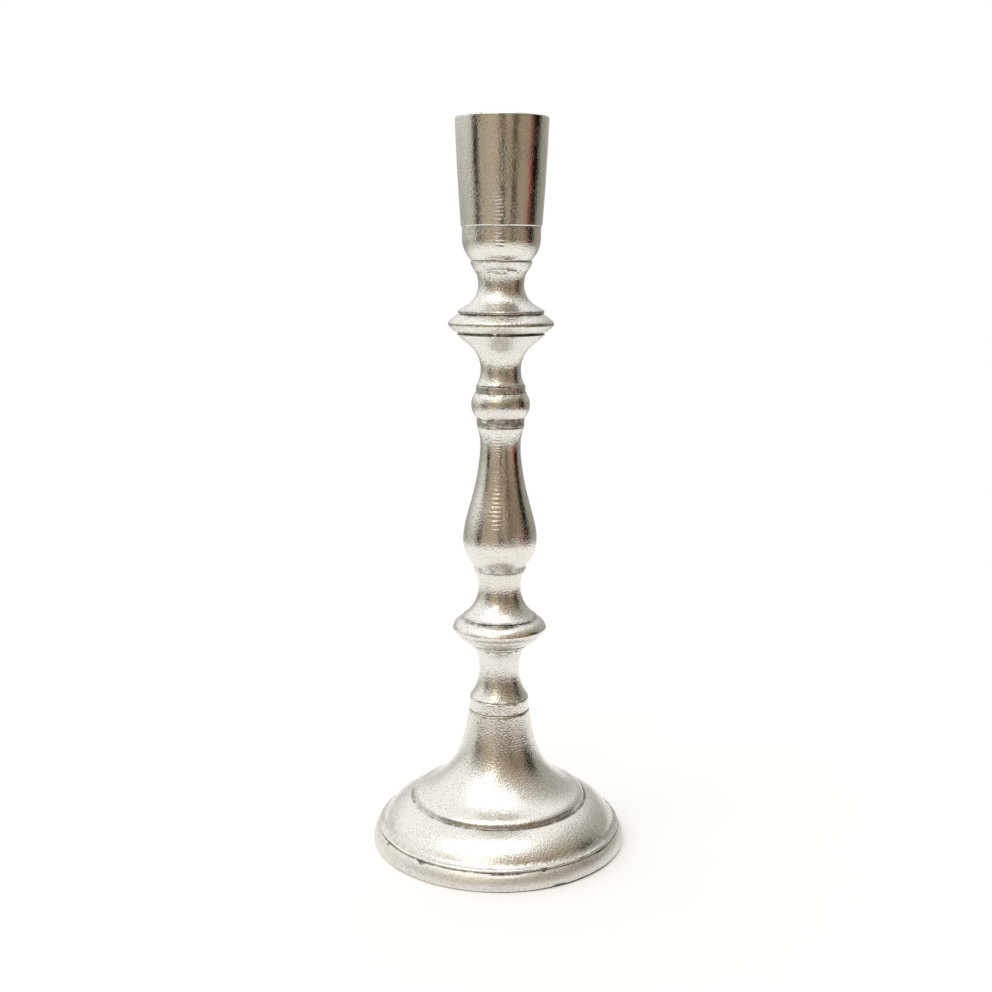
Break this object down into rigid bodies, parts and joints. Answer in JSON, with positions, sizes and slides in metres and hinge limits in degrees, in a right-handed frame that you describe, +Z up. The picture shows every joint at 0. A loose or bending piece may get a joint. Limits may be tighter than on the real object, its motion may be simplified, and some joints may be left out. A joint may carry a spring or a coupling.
{
  "type": "candlestick",
  "caption": "Tall baluster candlestick in cast silver-toned metal: tapered candle cup, drip disc, turned-look stem and stepped hollow foot on felt.",
  "frame": {"origin": "centre of the underside, where the felt ring meets the table", "axes": "+Z up along the candlestick's axis; X and Y are free because the shape is turned about Z"},
  "size_m": [0.1, 0.1, 0.28],
  "materials": {
    "silver_casting": "sand-cast aluminium, nickel-plated and lightly buffed: bright, with a fine orange-peel grain and darker grooves",
    "zinc_steel": "zinc-plated steel fasteners",
    "felt": "thin charcoal felt"
  },
  "bodies": {
    "root": {"foot": "silver_casting", "collar": "silver_casting", "lower_spool": "silver_casting", "lower_knop": "silver_casting", "lower_neck": "silver_casting", "baluster": "silver_casting", "knop": "silver_casting", "upper_spool": "silver_casting", "drip_disc": "silver_casting", "neck": "silver_casting", "cup_bowl": "silver_casting", "candle_cup": "silver_casting", "tie_rod": "zinc_steel", "flat_washer": "zinc_steel", "spring_washer": "zinc_steel", "hex_nut": "zinc_steel", "felt_ring": "felt"}
  },
  "joints": []
}
